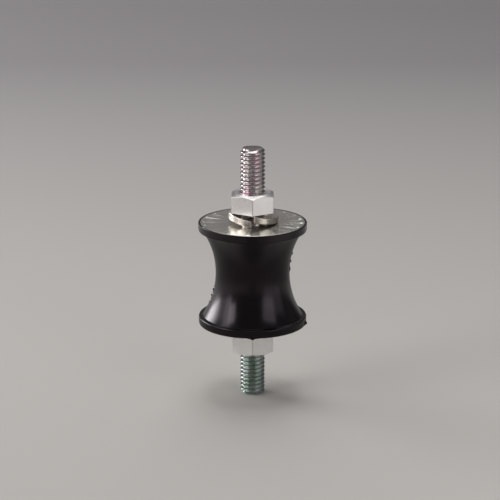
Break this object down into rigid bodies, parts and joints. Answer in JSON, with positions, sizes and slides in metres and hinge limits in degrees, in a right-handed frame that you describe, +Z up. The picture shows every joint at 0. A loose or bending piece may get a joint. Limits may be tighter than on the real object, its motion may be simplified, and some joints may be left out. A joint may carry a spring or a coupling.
{
  "type": "bobbin vibration mount",
  "caption": "Waisted black rubber bobbin between zinc-plated end plates, with a threaded stud, spring washer and hex nut at each end, to fix a machine to its base softly.",
  "frame": {"origin": "centre of the lower stud's end face, on the stud axis", "axes": "+Z up the stud axis from the lower stud to the upper stud; the nuts' front corners and the washers' cut ends face -Y; X across the nuts' side flats"},
  "size_m": [0.0258, 0.0258, 0.061],
  "materials": {
    "black_rubber": "moulded black natural rubber, satin",
    "zinc_plate": "pressed mild steel, bright zinc plated",
    "zinc_stud": "rolled thread, blue-white zinc plated",
    "zinc_washer": "spring steel, bright zinc plated",
    "zinc_nut": "cold-formed steel, satin zinc plated"
  },
  "bodies": {
    "root": {"rubber_body": "black_rubber", "upper_end_plate": "zinc_plate", "lower_end_plate": "zinc_plate", "upper_stud": "zinc_stud", "lower_stud": "zinc_stud", "upper_spring_washer": "zinc_washer", "lower_spring_washer": "zinc_washer", "upper_nut": "zinc_nut", "lower_nut": "zinc_nut"}
  },
  "joints": []
}
